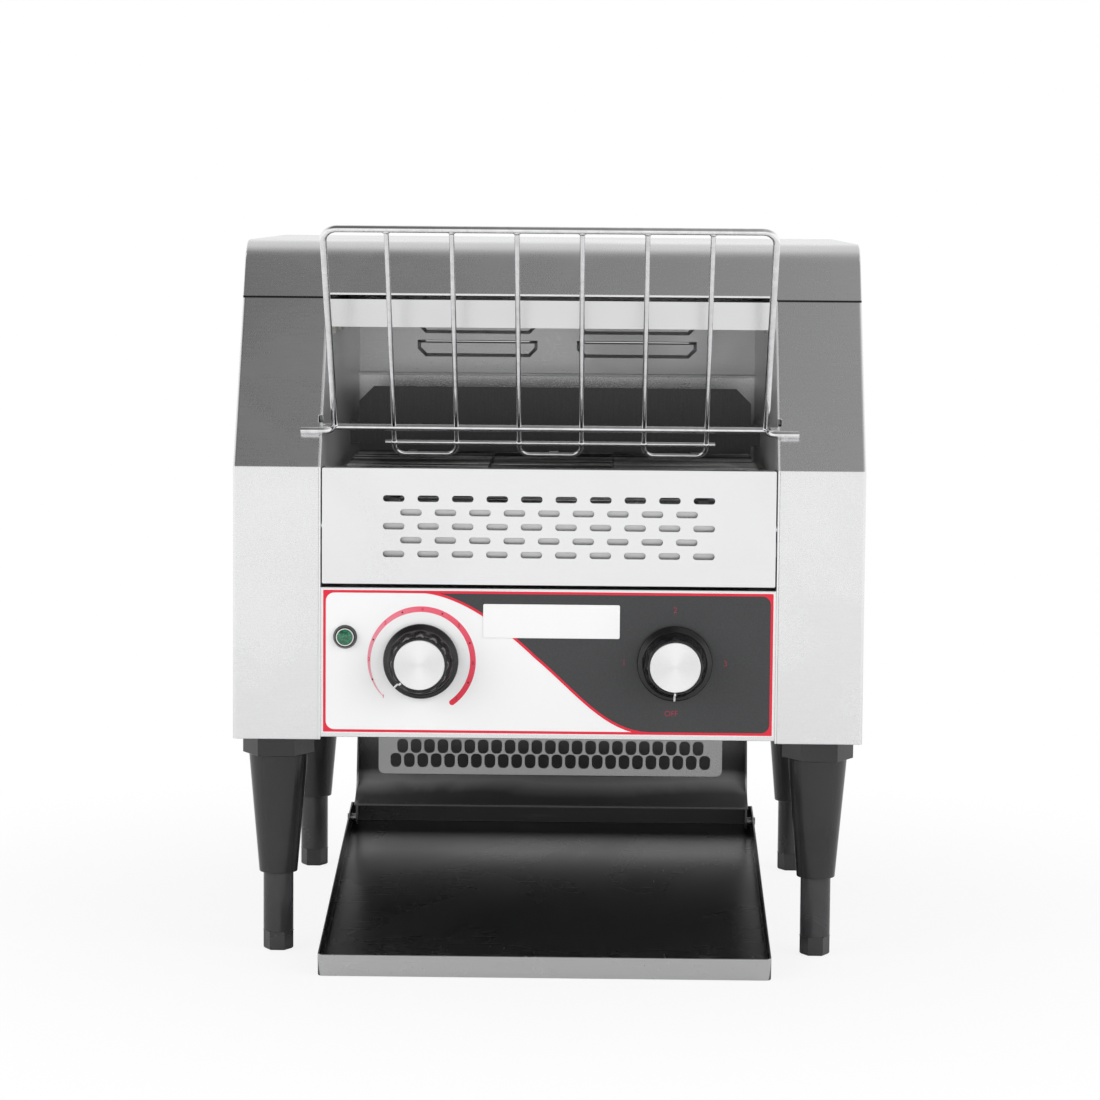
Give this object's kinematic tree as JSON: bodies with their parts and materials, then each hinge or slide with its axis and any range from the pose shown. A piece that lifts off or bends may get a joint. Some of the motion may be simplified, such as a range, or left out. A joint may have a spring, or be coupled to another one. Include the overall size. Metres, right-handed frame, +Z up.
{
  "type": "conveyor toaster",
  "caption": "Countertop conveyor toaster with a wire belt, leaning bread rack, rotary controls, hinged exit tray and adjustable legs.",
  "frame": {"origin": "on the floor, under the middle of the overall width and depth", "axes": "+Z up, +Y towards the back, +X to the right of someone facing the front"},
  "size_m": [0.368, 0.4178, 0.4314],
  "materials": {
    "brushed_steel_outer": "brushed, satin",
    "polished_steel": "bright, polished",
    "dark_steel": "dull",
    "wire_chrome": "bright plating",
    "shaft_steel": "turned",
    "belt_wire": "heat-dulled wire",
    "black_plastic": "glossy",
    "leg_plastic": "glossy",
    "foot_plastic": "satin",
    "cap_metal": "spun, satin",
    "overlay_print": "printed film",
    "green_lens": "clear green",
    "quartz": "frosted",
    "ceramic": "unglazed",
    "bronze": "sintered",
    "motor_metal": "painted",
    "switch_plastic": "moulded",
    "gland_plastic": "moulded"
  },
  "bodies": {
    "toaster": {"ceramic_tube_holders": "ceramic", "colour_regulator": "switch_plastic", "control_box": "brushed_steel_outer", "control_overlay": "overlay_print", "conveyor_belt": "belt_wire", "cord_gland": "gland_plastic", "cord_gland_nut": "gland_plastic", "drive_chain": "shaft_steel", "exit_guard": "brushed_steel_outer", "front_left_leg": "leg_plastic", "front_panel": "brushed_steel_outer", "front_right_leg": "leg_plastic", "gear_motor": "motor_metal", "lamp_bezel": "black_plastic", "lamp_lens": "green_lens", "left_base_plate": "brushed_steel_outer", "left_chamber_wall": "polished_steel", "left_side_housing": "brushed_steel_outer", "lower_heating_tube_1": "quartz", "lower_heating_tube_2": "quartz", "lower_heating_tube_3": "quartz", "lower_reflector": "polished_steel", "rear_left_leg": "leg_plastic", "rear_right_leg": "leg_plastic", "rear_service_panel": "brushed_steel_outer", "rear_vent_panel": "brushed_steel_outer", "right_base_plate": "brushed_steel_outer", "right_chamber_wall": "polished_steel", "right_side_housing": "brushed_steel_outer", "selector_switch": "switch_plastic", "shaft_bushes": "bronze", "terminal_block": "switch_plastic", "toast_chute": "dark_steel", "top_cover": "brushed_steel_outer", "tray_pivot_studs": "shaft_steel", "upper_heating_tube_1": "quartz", "upper_heating_tube_2": "quartz", "upper_heating_tube_3": "quartz", "upper_reflector": "polished_steel"},
    "colour_control": {"colour_knob": "black_plastic", "colour_knob_cap": "cap_metal", "colour_spindle": "shaft_steel"},
    "selector_control": {"selector_knob": "black_plastic", "selector_knob_cap": "cap_metal", "selector_spindle": "shaft_steel"},
    "belt_drive": {"drive_shaft": "shaft_steel", "drive_sprockets": "shaft_steel", "drive_chain_wheel": "shaft_steel"},
    "belt_idler": {"idler_shaft": "shaft_steel", "idler_sprockets": "shaft_steel"},
    "motor_output": {"motor_shaft": "shaft_steel", "motor_chain_wheel": "shaft_steel"},
    "rack": {"bread_rack": "wire_chrome"},
    "tray": {"toast_tray": "dark_steel"},
    "front_left_adjuster": {"front_left_foot": "foot_plastic"},
    "rear_left_adjuster": {"rear_left_foot": "foot_plastic"},
    "front_right_adjuster": {"front_right_foot": "foot_plastic"},
    "rear_right_adjuster": {"rear_right_foot": "foot_plastic"}
  },
  "joints": [
    {"name": "colour_knob_turn", "type": "hinge", "parent": "toaster", "child": "colour_control", "pos_m": [-0.074, -0.147, 0.178], "axis": [0, 1, 0], "range_deg": [0, 300]},
    {"name": "selector_knob_turn", "type": "hinge", "parent": "toaster", "child": "selector_control", "pos_m": [0.074, -0.147, 0.178], "axis": [0, 1, 0], "range_deg": [0, 270]},
    {"name": "drive_shaft_turn", "type": "hinge", "parent": "toaster", "child": "belt_drive", "pos_m": [0, 0.062, 0.26887], "axis": [-1, 0, 0], "continuous": true, "deforming": ["conveyor_belt", "drive_chain"]},
    {"name": "idler_shaft_turn", "type": "hinge", "parent": "toaster", "child": "belt_idler", "pos_m": [0, -0.118, 0.26887], "axis": [-1, 0, 0], "continuous": true},
    {"name": "motor_shaft_turn", "type": "hinge", "parent": "toaster", "child": "motor_output", "pos_m": [0.165, 0.0282, 0.2053], "axis": [-1, 0, 0], "continuous": true},
    {"name": "rack_lift_out", "type": "slide", "parent": "toaster", "child": "rack", "axis": [0, -0.8492, 0.528], "range_m": [0, 0.03]},
    {"name": "tray_hinge", "type": "hinge", "parent": "toaster", "child": "tray", "pos_m": [0, 0.08126, 0.04573], "axis": [-1, 0, 0], "range_deg": [0, 20]},
    {"name": "front_left_foot_screw", "type": "slide", "parent": "toaster", "child": "front_left_adjuster", "axis": [0, 0, 1], "range_m": [0, 0.034]},
    {"name": "rear_left_foot_screw", "type": "slide", "parent": "toaster", "child": "rear_left_adjuster", "axis": [0, 0, 1], "range_m": [0, 0.034]},
    {"name": "front_right_foot_screw", "type": "slide", "parent": "toaster", "child": "front_right_adjuster", "axis": [0, 0, 1], "range_m": [0, 0.034]},
    {"name": "rear_right_foot_screw", "type": "slide", "parent": "toaster", "child": "rear_right_adjuster", "axis": [0, 0, 1], "range_m": [0, 0.034]}
  ],
  "couplings": [
    {"joint": "idler_shaft_turn", "follows": "drive_shaft_turn", "ratio": 1},
    {"joint": "motor_shaft_turn", "follows": "drive_shaft_turn", "ratio": 1}
  ]
}
